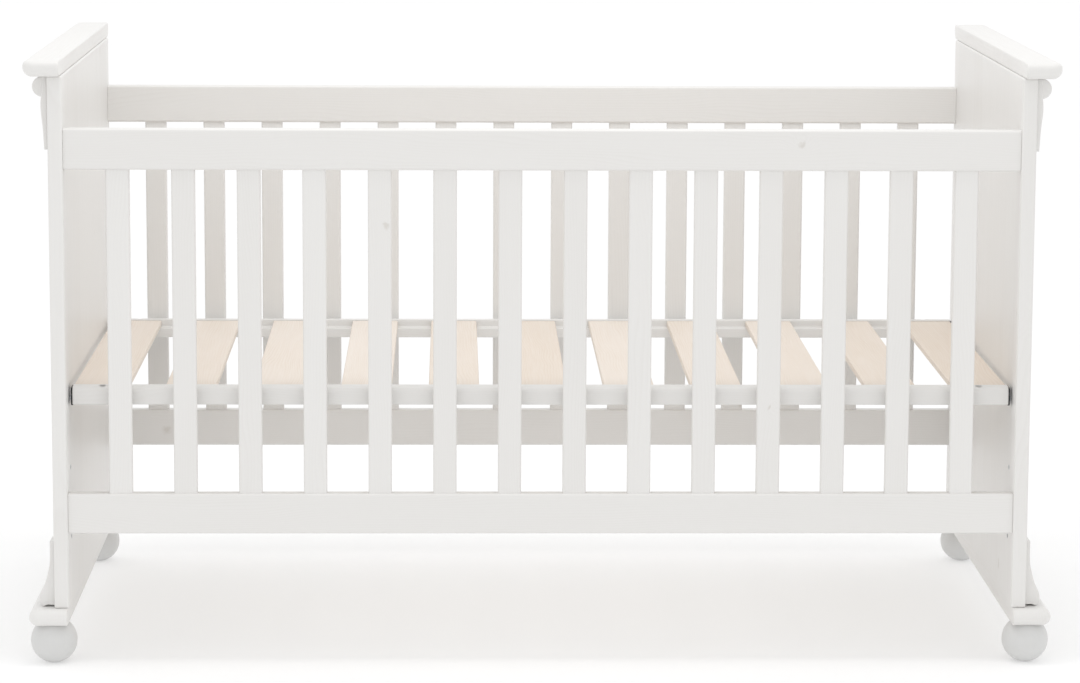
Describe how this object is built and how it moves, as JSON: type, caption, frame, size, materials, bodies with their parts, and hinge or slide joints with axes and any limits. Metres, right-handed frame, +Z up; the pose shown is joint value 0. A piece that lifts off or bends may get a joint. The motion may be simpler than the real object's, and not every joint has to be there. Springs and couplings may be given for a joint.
{
  "type": "baby crib",
  "caption": "Baby crib with solid capped end panels on ball feet, fixed slatted sides and a slatted mattress base that hooks on pegs and lifts out.",
  "frame": {"origin": "on the floor, under the middle of the crib", "axes": "+X along the crib towards its right end, +Y across it towards the back, +Z up"},
  "size_m": [1.54, 0.819, 0.911],
  "materials": {
    "white_glaze": "satin white glaze on pine",
    "bare_pine": "planed, lightly oiled pine",
    "beech_dowel": "bare fluted beech",
    "zinc_steel": "bright zinc plated",
    "black_steel": "black powder coat"
  },
  "bodies": {
    "crib_frame": {"back_bottom_rail": "white_glaze", "back_left_ball_foot": "white_glaze", "back_left_corbel": "white_glaze", "back_left_foot_bracket": "white_glaze", "back_right_ball_foot": "white_glaze", "back_right_corbel": "white_glaze", "back_right_foot_bracket": "white_glaze", "back_rungs": "white_glaze", "back_top_rail": "white_glaze", "base_support_pegs": "zinc_steel", "foot_hanger_bolts": "zinc_steel", "front_bottom_rail": "white_glaze", "front_left_ball_foot": "white_glaze", "front_left_corbel": "white_glaze", "front_left_foot_bracket": "white_glaze", "front_right_ball_foot": "white_glaze", "front_right_corbel": "white_glaze", "front_right_foot_bracket": "white_glaze", "front_rung_01": "white_glaze", "front_rung_02": "white_glaze", "front_rung_03": "white_glaze", "front_rung_04": "white_glaze", "front_rung_05": "white_glaze", "front_rung_06": "white_glaze", "front_rung_07": "white_glaze", "front_rung_08": "white_glaze", "front_rung_09": "white_glaze", "front_rung_10": "white_glaze", "front_rung_11": "white_glaze", "front_rung_12": "white_glaze", "front_rung_13": "white_glaze", "front_rung_14": "white_glaze", "front_top_rail": "white_glaze", "left_cap": "white_glaze", "left_end_panel": "white_glaze", "left_foot_plank": "white_glaze", "level_inserts": "zinc_steel", "right_cap": "white_glaze", "right_end_panel": "white_glaze", "right_foot_plank": "white_glaze", "side_barrel_nuts": "zinc_steel", "side_bolts": "zinc_steel", "wooden_dowels": "beech_dowel"},
    "mattress_base": {"base_back_rail": "white_glaze", "base_barrel_nuts": "zinc_steel", "base_front_rail": "white_glaze", "base_hook_bolts": "zinc_steel", "base_hook_plates": "black_steel", "base_slat_01": "bare_pine", "base_slat_02": "bare_pine", "base_slat_03": "bare_pine", "base_slat_04": "bare_pine", "base_slat_05": "bare_pine", "base_slat_06": "bare_pine", "base_slat_07": "bare_pine", "base_slat_08": "bare_pine", "base_slat_09": "bare_pine", "base_slat_10": "bare_pine", "base_slat_11": "bare_pine", "slat_screws": "zinc_steel"}
  },
  "joints": [
    {"name": "base_lift", "type": "slide", "parent": "crib_frame", "child": "mattress_base", "axis": [0, 0, 1], "range_m": [0, 0.54]}
  ]
}
